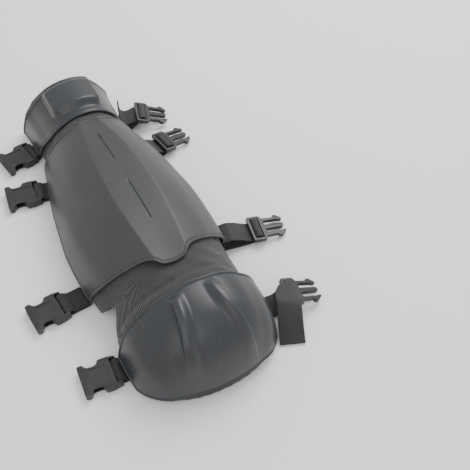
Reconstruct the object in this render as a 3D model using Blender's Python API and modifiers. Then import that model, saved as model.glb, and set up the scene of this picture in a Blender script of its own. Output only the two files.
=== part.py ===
# Brushcutter leg guard, lying face up with its straps open. Metres, +Z up.
# The leg runs along Y: the knee lip is at the low end and the ankle rim at the high end.

import math

import bmesh
import bpy
from mathutils import Matrix, Vector

# Overall sizes of the padded body
guard_length = 0.497
guard_width = 0.170
ankle_width = 0.112
guard_height = 0.097
ankle_height = 0.084
crest_lean = 0.005
fullness = 2.15

# Layers, from the leg outwards
lining_thickness = 0.0015
lining_gap = 0.0008
pad_thickness = 0.008
shell_gap = 0.0009
shell_thickness = 0.0025
binding_depth = 0.006
binding_gap = 0.0006

# Cut-outs at the sides of the knee, where the leg bends
notch_height = 0.040
notch_middle = 0.130
notch_to_knee = 0.034
notch_to_ankle = 0.026

# Relief of the shells
crease_rise = 0.0035
crease_run = 0.035
boss_rise = 0.008
boss_width = 0.056
boss_slope = 0.012
rib_rise = 0.0042
rib_width = 0.0045
rib_slope = 0.010
rib_foot = 0.004

# Webbing and its way round the bars
webbing_width = 0.030
webbing_thickness = 0.0018
webbing_gap = 0.0009
slot_gap = 0.0012
root_height = 0.028
floor_bend = 0.005

# Side-release buckles
bar_width = 0.0034
bar_height = 0.0032
socket_length = 0.027
socket_height = 0.0062
socket_width = 0.029
socket_wall = 0.0022
female_length = 0.044
prong_length = 0.026
prong_width = 0.0042
prong_gap = 0.0006
catch_reach = 0.0022
shoulder_length = 0.005

# Care label inside
label_width = 0.046
label_length = 0.034
label_thickness = 0.0005
label_gap = 0.0009
label_place = 0.50

# Cross-sections of the pad, from the knee lip to the ankle rim. crest and edge are places along
# the leg as shares of the length, up is a share of the height and wide of the width; ankle says
# how far the row has gone over from the knee's height and width to the ankle's.
section_columns = ("crest", "up", "edge", "wide", "ankle")
section_rows = (
    (0.000, 0.000, 0.102, 0.955, 0.00),
    (0.003, 0.200, 0.104, 0.960, 0.00),
    (0.012, 0.400, 0.107, 0.965, 0.00),
    (0.029, 0.600, 0.112, 0.970, 0.00),
    (0.056, 0.765, 0.120, 0.975, 0.00),
    (0.093, 0.870, 0.132, 0.978, 0.00),
    (0.133, 0.915, 0.148, 0.980, 0.00),
    (0.169, 0.920, 0.170, 0.975, 0.00),
    (0.201, 0.905, 0.198, 0.962, 0.00),
    (0.230, 0.900, 0.229, 0.948, 0.00),
    (0.262, 0.915, 0.262, 0.942, 0.00),
    (0.298, 0.945, 0.298, 0.955, 0.00),
    (0.342, 0.975, 0.343, 0.985, 0.00),
    (0.412, 1.000, 0.415, 1.000, 0.00),
    (0.483, 1.000, 0.488, 0.995, 0.00),
    (0.553, 0.992, 0.560, 0.960, 0.05),
    (0.623, 0.985, 0.632, 0.930, 0.15),
    (0.694, 0.980, 0.705, 0.925, 0.40),
    (0.755, 0.980, 0.767, 0.955, 0.75),
    (0.805, 0.985, 0.826, 0.985, 1.00),
    (0.865, 0.995, 0.890, 0.978, 1.00),
    (0.915, 0.992, 0.946, 1.000, 1.00),
    (0.962, 0.985, 1.000, 1.060, 1.00),
)
last_row = len(section_rows) - 1

# Where the layers are divided along the leg, counted in rows of the table above
pad_divisions = (0, 0.6, 1.3, 2, 3, 4, 5, 6, 7, 7.5, 8, 8.5, 9, 9.5, 10, 10.5, 11, 11.5, 12,
                 13, 14, 15, 16, 17, 18, 19, 20, 21, 22)
pad_spans = 16

# Edges of the shells: way down from the crest (0) to the floor (1), and place along the leg
shin_low_edge = ((0.0, 0.246), (0.10, 0.252), (0.17, 0.272), (0.38, 0.290), (0.62, 0.308),
                 (0.96, 0.348))
shin_high_edge = ((0.0, 0.771), (0.18, 0.769), (0.50, 0.780), (0.96, 0.803))
ankle_low_edge = ((0.0, 0.801), (0.30, 0.806), (0.55, 0.824), (0.96, 0.868))
ankle_high_row = 21.6
knee_high_edge = ((0.0, 0.181), (0.50, 0.180), (0.96, 0.170))
knee_low_row = 0.45
shell_side = 0.95

# Half width of the shin's flat strip against the place along the leg, in shares of the
# guard's width and length; the same for the middle of the knee's ribs
strip_rows = ((0.20, 0.105), (0.275, 0.125), (0.39, 0.152), (0.50, 0.158), (0.63, 0.138),
              (0.76, 0.078))
rib_rows = ((0.000, 0.210), (0.04, 0.195), (0.08, 0.165), (0.12, 0.142), (0.18, 0.128))
rib_fade = ((0.000, 0.0), (0.012, 0.25), (0.035, 1.0), (0.150, 1.0), (0.166, 0.0), (0.2, 0.0))

# Straps from the ankle to the knee: name, station as a share of the length, way from the pad to
# the buckle and the buckle's turn in degrees towards the ankle. A left strap ends with the length
# of its sewn end, a right one with the heights of its prong buckle's bar and tip.
left_straps = (
    ("ankle", 0.903, 0.010, -9, 0.003),
    ("calf", 0.742, 0.018, 8, 0.010),
    ("shin", 0.380, 0.030, -4, 0.018),
    ("knee", 0.150, 0.010, 5, 0.003),
)
right_straps = (
    ("ankle", 0.900, 0.034, -17, 0.019, 0.003),
    ("calf", 0.738, 0.030, 9, 0.010, 0.002),
    ("shin", 0.375, 0.047, -11, 0.0075, 0.002),
    ("knee", 0.145, 0.033, -8, 0.020, 0.003),
)
# Free ends of the right straps: way back from the buckle's bar, and height, as shares of the
# tail's length; the knee's tail falls over the bar instead and lies out to the side
tail_length = 0.040
tail_rows = {
    "ankle": ((0.15, 0.36), (0.35, 0.30), (0.50, 0.40), (0.56, 0.62), (0.54, 0.85)),
    "calf": ((0.15, 0.30), (0.30, 0.40), (0.42, 0.44), (0.50, 0.40)),
    "shin": ((0.15, 0.20), (0.40, 0.34), (0.70, 0.44), (0.92, 0.40), (1.00, 0.26),
             (0.94, 0.14)),
}
knee_tail_turn = 76
knee_tail_length = 0.046
knee_tail_falls = ((0.09, 1.02), (0.18, 1.00), (0.36, 0.78), (0.58, 0.46), (0.80, 0.16),
                   (1.00, 0.0))

solids = bpy.data.collections.new("brushcutter_leg_guard")
cutters = bpy.data.collections.new("cutters")
floor_lift = binding_depth + binding_gap
strap_room = webbing_thickness + 2 * webbing_gap
female_height = socket_height + 2 * socket_wall
buckle_width = socket_width + 2 * (socket_wall + catch_reach) + 0.001
slot_length = webbing_thickness + 2 * slot_gap
ladder_length = 2 * (bar_width + slot_length)
male_length = ladder_length + shoulder_length + prong_length
male_height = socket_height - 2 * prong_gap


# Curves through tables

def follow(places, values, place):
    """Value at a place on a smooth curve through the given places and values."""
    place = min(max(place, places[0]), places[-1])
    k = max(i for i in range(len(places) - 1) if places[i] <= place)
    slopes = []
    for i in (k, k + 1):
        near = [(values[j + 1] - values[j]) / (places[j + 1] - places[j])
                for j in (i - 1, i) if 0 <= j < len(places) - 1]
        slopes.append(sum(near) / len(near))
    run = places[k + 1] - places[k]
    s = (place - places[k]) / run
    return (values[k] * (1 + 2 * s) * (1 - s) ** 2 + values[k + 1] * s * s * (3 - 2 * s)
            + run * (slopes[0] * s * (1 - s) ** 2 + slopes[1] * s * s * (s - 1)))


def read(rows, place):
    return follow([row[0] for row in rows], [row[1] for row in rows], place)


def section(name, row):
    column = section_columns.index(name)
    return follow(range(len(section_rows)), [line[column] for line in section_rows], row)


def ease(s):
    s = min(max(s, 0.0), 1.0)
    return s * s * (3 - 2 * s)


# The pad's outer face. row counts along the section table; turn goes from 0 at the left floor
# edge over the crest at half pi to pi at the right floor edge.

def face_point(row, turn):
    ankle = section("ankle", row)
    half = section("wide", row) * (guard_width + ankle * (ankle_width - guard_width)) / 2
    height = guard_height + ankle * (ankle_height - guard_height)
    rise = section("up", row) * (height - floor_lift)
    crest = section("crest", row) * guard_length
    edge = section("edge", row) * guard_length
    reach = math.hypot(crest - edge, rise)
    across = abs(math.cos(turn))
    upward = abs(math.sin(turn))
    radius = ((across / half) ** fullness + (upward / reach) ** fullness) ** (-1 / fullness)
    share = radius * math.sin(turn) / reach
    return Vector((crest_lean * share - radius * math.cos(turn), edge + (crest - edge) * share,
                   floor_lift + rise * share))


def face_normal(row, turn):
    """Outward direction; it is read a little inside the corners, where the rows close up."""
    step = 0.002
    row = max(row, 0.5)
    turn = min(max(turn, 0.12), math.pi - 0.12)
    low = max(row - step, 0.0)
    high = min(row + step, float(last_row))
    along = face_point(high, turn) - face_point(low, turn)
    across = face_point(row, turn + step) - face_point(row, turn - step)
    return across.cross(along).normalized()


def off_face(row, turn, distance):
    return face_point(row, turn) + face_normal(row, turn) * distance


def halve(low, high, reached):
    """Place between low and high where the test turns true."""
    for _ in range(30):
        middle = (low + high) / 2
        if reached(middle):
            high = middle
        else:
            low = middle
    return low


def row_at(along, turn):
    return halve(0.0, float(last_row), lambda row: face_point(row, turn).y >= along)


def turn_at_height(row, height):
    return halve(0.0, math.pi / 2, lambda turn: face_point(row, turn).z >= height)


def turn_from_crest(row, distance):
    """Turn on the left side that lies at a sideways distance from the crest."""
    crest = face_point(row, math.pi / 2).x
    return halve(0.0, math.pi / 2, lambda turn: crest - face_point(row, turn).x <= distance)


def notch_turn(row):
    """Turn of the pad's left edge, which climbs over the cut-out at the knee's side."""
    along = section("edge", row) * guard_length
    reach = notch_to_knee if along < notch_middle else notch_to_ankle
    away = abs(along - notch_middle) / reach
    if away >= 1:
        return 0.0
    climb = notch_height * math.cos(away * math.pi / 2) ** 2
    return turn_at_height(row, floor_lift + climb)


# Solids

def material(name, colour, roughness, metallic=0.0):
    made = bpy.data.materials.new(name)
    made.use_nodes = True
    shader = made.node_tree.nodes["Principled BSDF"]
    shader.inputs["Base Color"].default_value = (*colour, 1)
    shader.inputs["Roughness"].default_value = roughness
    shader.inputs["Metallic"].default_value = metallic
    made.diffuse_color = (*colour, 1)
    return made


def place_solid(name, mesh, finish, smooth_angle=35):
    made = bpy.data.objects.new(name, mesh)
    mesh.materials.append(material(name + "_finish", *finish))
    mesh.shade_smooth()
    mesh.set_sharp_from_angle(angle=math.radians(smooth_angle))
    solids.objects.link(made)
    return made


def grid_mesh(name, grid, closed=False):
    """Open sheet through a grid of points, its face to the outside."""
    mesh = bpy.data.meshes.new(name)
    columns = len(grid[0])
    faces = []
    for i in range(len(grid) if closed else len(grid) - 1):
        after = (i + 1) % len(grid)
        for j in range(columns - 1):
            faces.append((i * columns + j, i * columns + j + 1,
                          after * columns + j + 1, after * columns + j))
    mesh.from_pydata([point for line in grid for point in line], [], faces)
    return mesh


def walled_mesh(name, outer, inner):
    """Closed wall between two grids of points that divide alike."""
    mesh = grid_mesh(name, outer)
    shape = bmesh.new()
    shape.from_mesh(mesh)
    columns = len(outer[0])
    front = list(shape.verts)
    quads = [[vert.index for vert in face.verts] for face in shape.faces]
    back = [shape.verts.new(point) for line in inner for point in line]
    for a, b, c, d in quads:
        shape.faces.new((back[a], back[d], back[c], back[b]))
    last = len(outer) - 1
    rim = [j for j in range(columns)]
    rim += [i * columns + columns - 1 for i in range(1, last + 1)]
    rim += [last * columns + j for j in range(columns - 2, -1, -1)]
    rim += [i * columns for i in range(last - 1, 0, -1)]
    for k, here in enumerate(rim):
        after = rim[(k + 1) % len(rim)]
        shape.faces.new((front[here], back[after], front[after]))
        shape.faces.new((front[here], back[here], back[after]))
    shape.to_mesh(mesh)
    shape.free()
    return mesh


def thicken(name, grid, thickness, side, finish):
    """A sheet with a wall: side 1 thickens outwards, -1 inwards and 0 both ways."""
    made = place_solid(name, grid_mesh(name, grid), finish)
    wall = made.modifiers.new("wall", "SOLIDIFY")
    wall.thickness = thickness
    wall.offset = side
    wall.use_even_offset = True
    return made


# Pad, lining, binding and label

def make_layer(name, outside, thickness, finish):
    """A layer that follows the pad's face at a depth, from rim to rim."""
    grids = []
    for depth in (outside, outside + thickness):
        grid = []
        for row in pad_divisions:
            edge = notch_turn(row)
            grid.append([off_face(row, edge + (math.pi - 2 * edge) * j / pad_spans, -depth)
                         for j in range(pad_spans + 1)])
        grids.append(grid)
    place_solid(name, walled_mesh(name, *grids), finish)


def make_pad():
    make_layer("foam_pad", 0, pad_thickness, ((0.012, 0.012, 0.013), 0.9))


def make_lining():
    make_layer("lining", pad_thickness + lining_gap, lining_thickness,
               ((0.008, 0.008, 0.008), 0.95))


def rim_places():
    """Rows and turns round the pad's rim, once round from the left end of the lip."""
    places = [(0, math.pi * j / pad_spans) for j in range(pad_spans)]
    places += [(row, math.pi - notch_turn(row)) for row in pad_divisions[:-1]]
    places += [(last_row, math.pi * (1 - j / pad_spans)) for j in range(pad_spans)]
    places += [(row, notch_turn(row)) for row in pad_divisions[:0:-1]]
    return places


def make_binding():
    """A rolled band that closes the rim of the pad and lining all the way round."""
    stack = pad_thickness + lining_gap + lining_thickness
    places = rim_places()
    rim = [face_point(*place) for place in places]
    middle = [off_face(*place, -stack / 2) for place in places]
    seam = 0.5 - (pad_thickness + lining_gap / 2) / stack
    profile = ((-0.5, 0.0), (-0.5, 0.7), (-0.3, 1.0), (0.3, 1.0), (0.5, 0.7), (0.5, 0.0),
               (seam, 0.0))
    rings = []
    for k, (row, turn) in enumerate(places):
        ahead = (rim[(k + 1) % len(rim)] - rim[k]).normalized()
        behind = (rim[k] - rim[k - 1]).normalized()
        normal = face_normal(row, turn)
        outward = (ahead + behind).normalized().cross(normal).normalized()
        rings.append([middle[k] + normal * stack * across
                      + outward * (binding_gap + binding_depth * out)
                      for across, out in profile])
    mesh = bpy.data.meshes.new("edge_binding")
    sides = len(profile)
    faces = []
    for i in range(len(rings)):
        after = (i + 1) % len(rings)
        for j in range(sides - 2):
            faces.append((i * sides + j, after * sides + j,
                          after * sides + j + 1, i * sides + j + 1))
        for near, far in ((sides - 2, sides - 1), (sides - 1, 0)):
            faces.append((i * sides + near, after * sides + near, after * sides + far))
            faces.append((i * sides + near, after * sides + far, i * sides + far))
    mesh.from_pydata([point for ring in rings for point in ring], [], faces)
    place_solid("edge_binding", mesh, ((0.010, 0.010, 0.010), 0.85), 60)


def make_label():
    depth = -(pad_thickness + lining_gap + lining_thickness + label_gap)
    middle = label_place * guard_length
    grid = []
    for i in range(4):
        along = middle + (i / 3 - 0.5) * label_width
        line = []
        for j in range(4):
            turn = math.radians(52) + (j / 3 - 0.5) * label_length / (guard_width / 2)
            line.append(off_face(row_at(along, turn), turn, depth))
        grid.append(line)
    thicken("care_label", grid, label_thickness, -1, ((0.75, 0.75, 0.74), 0.7))


# Shells

def stand_off(down):
    """Gap under a shell: close at the crest, with room for the webbing at the sides."""
    return shell_gap + (strap_room - shell_gap) * ease((down - 0.48) / 0.18)


def shell_point(row, down, right, rise):
    turn = math.pi / 2 * (1 + down if right else 1 - down)
    return off_face(row, turn, stand_off(down) + rise)


def both_sides(lanes):
    """A half section's lanes, crest first, as a full line from left to right."""
    return [(lane, False) for lane in lanes[:0:-1]] + [(lane, True) for lane in lanes]


def make_shell(name, lines, finish):
    thicken(name, lines, shell_thickness, 1, finish)


def strip_share(along):
    """Way down from the crest to the crease of the shin's flat strip."""
    half = read(strip_rows, along / guard_length) * guard_width
    return half, half / (guard_height * math.pi / 2)


def make_shin_plate():
    """Shin plate with a flat strip down its crest between two creases."""
    strip_spans = 2
    flank_spans = 7
    length_spans = 15
    widest = max(row[1] for row in strip_rows) * guard_width
    lines = []
    for i in range(length_spans + 1):
        part = i / length_spans
        line = []
        for lane, right in both_sides(range(strip_spans + flank_spans + 1)):
            down = 0.0
            for _ in range(4):
                along = guard_length * (read(shin_low_edge, down) * (1 - part)
                                        + read(shin_high_edge, down) * part)
                half, crease = strip_share(along)
                if lane <= strip_spans:
                    down = crease * lane / strip_spans
                else:
                    down = crease + (shell_side - crease) * (lane - strip_spans) / flank_spans
            away = down * guard_height * math.pi / 2
            edge_rise = crease_rise * half / widest
            if lane <= strip_spans:
                rise = edge_rise * (away / half) ** 2
            else:
                rise = edge_rise * max(0.0, 1 - (away - half) / crease_run) ** 2
            turn = math.pi / 2 * (1 + down if right else 1 - down)
            line.append(shell_point(row_at(along, turn), down, right, rise))
        lines.append(line)
    make_shell("shin_plate", lines, ((0.030, 0.032, 0.034), 0.42))


def make_ankle_plate():
    """Ankle plate with a raised boss that runs out to the rim."""
    boss = boss_width / 2 / (ankle_height * math.pi / 2)
    foot = (boss_width / 2 + boss_slope) / (ankle_height * math.pi / 2)
    downs = [0, boss / 2, boss, (boss + foot) / 2, foot]
    downs += [foot + (shell_side - foot) * k / 5 for k in range(1, 6)]
    heights = (1, 1, 1, 0.5, 0, 0, 0, 0, 0, 0)
    parts = ((0, 0), (0.07, 0), (0.14, 0.5), (0.21, 1), (0.40, 1), (0.60, 1), (0.80, 1),
             (0.93, 0.85), (1, 0.6))
    lines = []
    for part, share in parts:
        line = []
        for lane, right in both_sides(range(len(downs))):
            down = downs[lane]
            turn = math.pi / 2 * (1 + down if right else 1 - down)
            low = row_at(read(ankle_low_edge, down) * guard_length, turn)
            row = low + (ankle_high_row - low) * part
            line.append(shell_point(row, down, right, boss_rise * share * heights[lane]))
        lines.append(line)
    make_shell("ankle_plate", lines, ((0.022, 0.023, 0.024), 0.34))


def make_knee_cap():
    """Knee cap, domed down to the lip, with two ribs that spread towards the lip."""
    flank_spans = 5
    length_spans = 11
    lines = []
    for i in range(length_spans + 1):
        part = i / length_spans
        line = []
        for lane, right in both_sides(range(6 + flank_spans)):
            down = 0.0
            rise = 0.0
            for _ in range(4):
                turn = math.pi / 2 * (1 - down)
                high = row_at(read(knee_high_edge, down) * guard_length, turn)
                row = knee_low_row + (high - knee_low_row) * part
                along = section("crest", row)
                rib = read(rib_rows, along) * guard_width
                inner = rib - rib_width / 2
                outer = rib + rib_width / 2
                aways = (0, (inner - rib_slope) / 2, inner - rib_slope, inner, outer,
                         outer + rib_foot)
                if lane < len(aways):
                    down = 1 - turn_from_crest(row, aways[lane]) / (math.pi / 2)
                else:
                    foot = 1 - turn_from_crest(row, aways[-1]) / (math.pi / 2)
                    down = foot + (shell_side - foot) * (lane - 5) / flank_spans
                rise = rib_rise * read(rib_fade, along) if lane in (3, 4) else 0.0
            line.append(shell_point(row, down, right, rise))
        lines.append(line)
    make_shell("knee_cap", lines, ((0.020, 0.021, 0.022), 0.30))


# Straps. A strap is a ribbon of three points across, first sewn to the pad's flank under the
# shell and then free, along a path of (way out from the pad, height).

def strap_root(right, middle):
    """Lines of the ribbon on the pad's flank, from under the shell down to the floor bend."""
    centre_off = webbing_gap + webbing_thickness / 2
    lines = []
    for share in (1.0, 0.75, 0.5, 0.32):
        height = floor_lift + (root_height - floor_lift) * share
        line = []
        for across in (-0.5, 0.0, 0.5):
            along = middle + across * webbing_width
            turn = 0.1
            for _ in range(3):
                row = row_at(along, turn)
                turn = turn_at_height(row, height)
            line.append(off_face(row, math.pi - turn if right else turn, centre_off))
        lines.append(line)
    return lines


def make_strap(name, right, middle, heading, path, slope=None):
    """Ribbon from its root along a path. With a slope its tail folds off to the side at the end,
    over a ladder that rises by that much towards the pad, and falls to the floor."""
    side = 1 if right else -1
    out = Vector((side * math.cos(heading), math.sin(heading), 0))
    width = Vector((-math.sin(heading), side * math.cos(heading), 0)) * side
    lines = strap_root(right, middle)
    base = lines[-1][1].copy()
    base.z = 0
    spread = [lines[-1][k] - base - width * (k - 1) * webbing_width / 2
              - Vector((0, 0, lines[-1][1].z)) for k in range(3)]
    for way, height in path:
        centre = base + out * way + Vector((0, 0, height))
        fade = 1 - ease((way - floor_bend / 2) / floor_bend)
        lines.append([centre + width * (k - 1) * webbing_width / 2 + spread[k] * fade
                      for k in range(3)])
    if slope is not None:
        way, height = path[-1]
        pivot = base + out * way - width * (webbing_width / 2 + webbing_gap)
        for share in (0.25, 0.5, 0.75, 1.0):
            swing = Matrix.Rotation(math.radians(knee_tail_turn) * share, 3, "Z")
            arms = [swing @ (width * (webbing_width * k / 2 + webbing_gap)) for k in range(3)]
            lift = height + webbing_gap * share
            lines.append([pivot + arm + Vector((0, 0, lift - slope * arm.dot(out)))
                          for arm in arms])
        fold = lines[-1]
        level = webbing_thickness / 2
        for share, left in knee_tail_falls:
            ahead = swing @ out * -knee_tail_length * share
            lines.append([Vector((*(point + ahead).xy, level + (point.z - level) * left))
                          for point in fold])
    thicken(name, lines, webbing_thickness, 0, ((0.012, 0.012, 0.012), 0.8))
    return base, out


def floor_bend_path():
    """From the flank down round onto the floor."""
    half = webbing_thickness / 2
    return [(floor_bend * (1 - math.cos(a)), half + floor_bend * (1 - math.sin(a)))
            for a in (math.radians(20), math.radians(55), math.radians(90))]


def corner(point, before, after, cut=0.0013):
    """Two points that cut the corner of a path."""
    here = Vector(point)
    towards = [(Vector(other) - here).normalized() * cut for other in (before, after)]
    return [tuple(here + towards[0]), tuple(here + towards[1])]


def chamfered(points):
    path = [points[0]]
    for k in range(1, len(points) - 1):
        path += corner(points[k], points[k - 1], points[k + 1])
    return path + [points[-1]]


def stand(made, base, out, way, height=0.0, pitch=0.0):
    """Place a buckle: its x axis runs out along the strap, tipped down by pitch."""
    up = Vector((0, 0, 1))
    forward = out * math.cos(pitch) - up * math.sin(pitch)
    top = out * math.sin(pitch) + up * math.cos(pitch)
    frame = Matrix((forward, top.cross(forward), top)).transposed().to_4x4()
    made.matrix_world = Matrix.Translation(base + out * way + up * height) @ frame


def outline_mesh(name, loops, height):
    """Flat outlines, the first outside and the others holes, made a plate from z 0 up."""
    curve = bpy.data.curves.new(name, "CURVE")
    curve.dimensions = "2D"
    curve.fill_mode = "BOTH"
    curve.extrude = height / 2
    for loop in loops:
        line = curve.splines.new("POLY")
        line.points.add(len(loop) - 1)
        for point, (x, y) in zip(line.points, loop):
            point.co = (x, y, 0, 1)
        line.use_cyclic_u = True
    holder = bpy.data.objects.new(name, curve)
    bpy.context.scene.collection.objects.link(holder)
    bpy.context.view_layer.update()
    mesh = bpy.data.meshes.new_from_object(holder.evaluated_get(
        bpy.context.evaluated_depsgraph_get()))
    bpy.data.objects.remove(holder)
    shape = bmesh.new()
    shape.from_mesh(mesh)
    bmesh.ops.remove_doubles(shape, verts=shape.verts, dist=1e-6)
    bmesh.ops.recalc_face_normals(shape, faces=shape.faces)
    bmesh.ops.translate(shape, verts=shape.verts, vec=(0, 0, height / 2))
    shape.to_mesh(mesh)
    shape.free()
    return mesh


def box_mesh(name, low, high):
    mesh = bpy.data.meshes.new(name)
    shape = bmesh.new()
    bmesh.ops.create_cube(shape, size=1)
    size = [high[k] - low[k] for k in range(3)]
    middle = [(high[k] + low[k]) / 2 for k in range(3)]
    bmesh.ops.scale(shape, verts=shape.verts, vec=size)
    bmesh.ops.translate(shape, verts=shape.verts, vec=middle)
    shape.to_mesh(mesh)
    shape.free()
    return mesh


def cut(target, mesh):
    """Cut a mesh that is given in the target's own frame out of it."""
    holder = bpy.data.objects.new(mesh.name, mesh)
    holder.hide_render = True
    holder.display_type = "WIRE"
    holder.matrix_world = target.matrix_world
    cutters.objects.link(holder)
    bite = target.modifiers.new(mesh.name, "BOOLEAN")
    bite.operation = "DIFFERENCE"
    bite.solver = "EXACT"
    bite.object = holder


def mirrored(half):
    """Closed outline from the points of its upper half, from one end to the other."""
    return list(half) + [(x, -y) for x, y in reversed(half)]


def rectangle(low_x, high_x, half_y):
    return ((low_x, -half_y), (high_x, -half_y), (high_x, half_y), (low_x, half_y))


def make_female(name, base, out, way):
    """Socket half of a buckle, flat on the floor, its webbing bar towards the guard."""
    half = buckle_width / 2
    waist = socket_width / 2 - 0.0008
    slot_end = bar_width + slot_length
    rear = slot_end + 0.003
    front = female_length
    waist_start = front - socket_length + 0.004
    waist_end = front - 0.009
    outline = mirrored([
        (0.0, half - 0.0035), (0.0012, half - 0.0016), (rear, half), (waist_start - 0.003, half),
        (waist_start + 0.001, waist + 0.0012), (waist_start + 0.005, waist),
        (waist_end - 0.004, waist), (waist_end, waist + 0.0015),
        (waist_end + 0.003, half), (front - 0.0015, half), (front, half - 0.0015)])
    made = place_solid(name, outline_mesh(name, [outline], female_height),
                       ((0.016, 0.016, 0.016), 0.38))
    stand(made, base, out, way)
    beyond = 0.002
    cut(made, box_mesh(name + "_socket", (front - socket_length, -socket_width / 2, socket_wall),
                       (front + beyond, socket_width / 2, socket_wall + socket_height)))
    bar_low = webbing_thickness + 2 * webbing_gap
    bar_high = bar_low + bar_height
    across = webbing_width / 2 + webbing_gap
    round_bar = ((-beyond, -beyond), (slot_end, -beyond), (slot_end, female_height + beyond),
                 (-beyond, female_height + beyond), (-beyond, bar_high),
                 (bar_width, bar_high), (bar_width, bar_low), (-beyond, bar_low))
    slot = outline_mesh(name + "_slot", [round_bar], 2 * across)
    slot.transform(Matrix.Translation((0, across, 0)) @ Matrix.Rotation(math.pi / 2, 4, "X"))
    cut(made, slot)


def make_male(name, base, out, way, height, pitch):
    """Prong half of a buckle: a ladder of two bars, two springy prongs and a centre guide."""
    half = buckle_width / 2
    start = ladder_length
    shoulder = start + shoulder_length
    tip = male_length
    catch = socket_width / 2 + catch_reach
    stem = socket_width / 2 - prong_gap
    inner = stem - prong_width
    guide = prong_width * 0.8
    outline = mirrored([
        (0.0, half - 0.0015), (0.0015, half), (start, half), (start + 0.003, half - 0.002),
        (shoulder, stem + 0.0004), (tip - 0.0115, stem - 0.0002), (tip - 0.0105, catch),
        (tip - 0.0065, catch - 0.0002), (tip - 0.0008, stem - 0.0022), (tip, inner - 0.0006),
        (tip - 0.002, inner - 0.0014), (tip - 0.009, inner), (shoulder + 0.001, inner),
        (shoulder, inner - 0.001), (shoulder, guide + 0.0015), (shoulder + 0.001, guide),
        (tip - 0.004, guide), (tip - 0.002, guide * 0.8), (tip - 0.001, guide * 0.35)])
    across = webbing_width / 2 + webbing_gap
    first = rectangle(bar_width, bar_width + slot_length, across)
    second = rectangle(2 * bar_width + slot_length, ladder_length, across)
    mesh = outline_mesh(name, [outline, first, second], male_height)
    made = place_solid(name, mesh, ((0.016, 0.016, 0.016), 0.38))
    stand(made, base, out, way, height, pitch)


def make_left_side():
    half = webbing_thickness / 2
    layer = webbing_thickness + webbing_gap
    over = webbing_thickness + 2 * webbing_gap + bar_height + webbing_gap + half
    for name, place, reach, turn, fold in left_straps:
        start = reach - webbing_gap - half
        rise_at = start + bar_width + slot_gap + half
        back = start - slot_gap - half
        points = [floor_bend_path()[-1], (rise_at, half), (rise_at, over), (back, over)]
        if fold > 0.005:
            points += [(back - 0.004, layer + half), (back - 0.004 - fold, layer + half)]
        else:
            points += [(back - 0.001, layer + half + 0.0005)]
        path = floor_bend_path()[:-1] + chamfered(points)
        frame = make_strap("left_strap_" + name, False, place * guard_length,
                           math.radians(turn), path)
        make_female("socket_buckle_" + name, *frame, start)


def ladder_path(way, height, pitch, points):
    """Points given in a tipped ladder's own frame, as (way out, height)."""
    return [(way + x * math.cos(pitch) + z * math.sin(pitch),
             height - x * math.sin(pitch) + z * math.cos(pitch)) for x, z in points]


def make_right_side():
    half = webbing_thickness / 2
    tail_level = -(webbing_gap + half)
    main_level = tail_level - webbing_thickness - webbing_gap
    over = male_height + webbing_gap + half
    first = bar_width + slot_length / 2
    second = 2 * bar_width + 1.5 * slot_length
    for name, place, reach, turn, bar, tip in right_straps:
        start = reach - webbing_gap - half
        pitch = math.asin((bar - tip) / male_length)
        lead = floor_bend_path()
        run = [(start * 0.72, half + max(0.0, bar - 0.0105) * 0.12)]
        up = [(second - 0.008, main_level), (second, main_level), (second, over)]
        slope = None
        if name == "knee":
            threaded = ladder_path(start, bar, pitch, up)
            path = lead[:-1] + chamfered([lead[-1]] + run + threaded)
            slope = math.tan(pitch)
        else:
            down = [(first, over), (first, tail_level), (-0.001, tail_level)]
            threaded = ladder_path(start, bar, pitch, up + down)
            tail = [(start - tail_length * back, tail_length * rise)
                    for back, rise in tail_rows[name]]
            path = lead[:-1] + chamfered([lead[-1]] + run + threaded)[:-1] + [threaded[-1]] + tail
        frame = make_strap("right_strap_" + name, True, place * guard_length,
                           math.radians(turn), path, slope)
        make_male("prong_buckle_" + name, *frame, start, bar, pitch)


def centre_on_floor():
    """Stand the finished guard on z 0 with its box centred on the origin."""
    bpy.context.view_layer.update()
    graph = bpy.context.evaluated_depsgraph_get()
    corners = []
    for made in solids.objects:
        seen = made.evaluated_get(graph)
        corners += [made.matrix_world @ vertex.co for vertex in seen.data.vertices]
    low = [min(corner[k] for corner in corners) for k in range(3)]
    high = [max(corner[k] for corner in corners) for k in range(3)]
    shift = Matrix.Translation((-(low[0] + high[0]) / 2, -(low[1] + high[1]) / 2, -low[2]))
    for made in list(solids.objects) + list(cutters.objects):
        made.matrix_world = shift @ made.matrix_world


for old in list(bpy.data.objects):
    bpy.data.objects.remove(old)
bpy.context.scene.collection.children.link(solids)
bpy.context.scene.collection.children.link(cutters)
make_pad()
make_lining()
make_binding()
make_label()
make_shin_plate()
make_ankle_plate()
make_knee_cap()
make_left_side()
make_right_side()
centre_on_floor()
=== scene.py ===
# Brushcutter leg guard with its straps open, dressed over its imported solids.
import math

import bpy
import numpy as np
from mathutils import Matrix, Vector


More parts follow.
